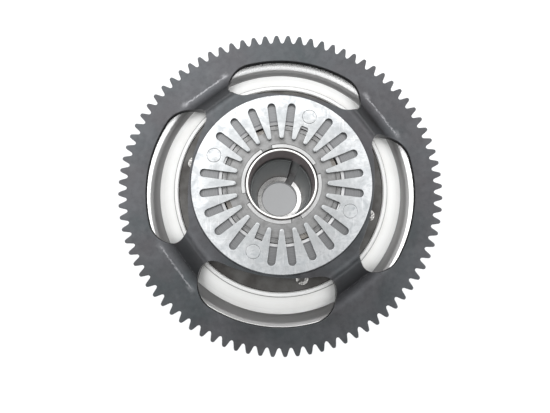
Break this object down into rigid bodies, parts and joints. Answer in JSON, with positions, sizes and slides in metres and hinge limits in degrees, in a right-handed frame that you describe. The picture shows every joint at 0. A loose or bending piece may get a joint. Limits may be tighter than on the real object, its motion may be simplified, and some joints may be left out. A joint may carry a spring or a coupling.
{
  "type": "flywheel",
  "caption": "Engine flywheel rotor with a spoked starter ring gear, a star-spring torque limiter and a sprag one-way clutch on a keyed taper boss.",
  "frame": {"origin": "crank axis at the plane of the rotor's rim, which is the open stator side", "axes": "+Z along the crank axis from the stator side to the starter gear side; the star spring's fingers lie at whole multiples of 15 degrees from +X"},
  "size_m": [0.1504, 0.1504, 0.0704],
  "materials": {
    "machined_steel": "turned and ground, lightly oxidised",
    "boss_steel": "ground, stained brown",
    "rivet_steel": "plain",
    "housing_steel": "phosphated, dark",
    "bolt_steel": "black oxide",
    "hardened_steel": "polished",
    "cage_steel": "pressed, straw coloured",
    "plate_steel": "ground",
    "spring_steel": "oiled black",
    "magnet": "dark sintered",
    "resin": "moulded",
    "sleeve_steel": "drawn",
    "hub_steel": "turned",
    "bush": "bored, oil stained",
    "blackened_steel": "black oxide, satin",
    "friction": "moulded friction lining",
    "zinc_plate": "bright zinc, mottled",
    "zinc_rivet": "bright zinc, flush set"
  },
  "bodies": {
    "rotor": {"rotor_cup": "machined_steel", "rotor_boss": "boss_steel", "boss_rivets": "rivet_steel", "clutch_housing": "housing_steel", "clutch_bolts": "bolt_steel", "sprags": "hardened_steel", "sprag_cage": "cage_steel", "garter_spring": "hardened_steel", "clutch_end_plate": "plate_steel", "clutch_snap_ring": "spring_steel", "magnets": "magnet", "magnet_spacer": "resin", "magnet_sleeve": "sleeve_steel"},
    "hub": {"limiter_hub": "hub_steel", "hub_bush": "bush", "drive_plate": "plate_steel", "pressure_plate": "plate_steel"},
    "gear": {"starter_gear": "blackened_steel", "lower_friction_ring": "friction", "upper_friction_ring": "friction", "star_spring": "zinc_plate", "spring_rivets": "zinc_rivet"}
  },
  "joints": [
    {"name": "overrun_spin", "type": "hinge", "parent": "rotor", "child": "hub", "pos_m": [0, 0, 0.045], "axis": [0, 0, 1], "continuous": true},
    {"name": "limiter_slip", "type": "hinge", "parent": "hub", "child": "gear", "pos_m": [0, 0, 0.0624], "axis": [0, 0, 1], "continuous": true}
  ]
}
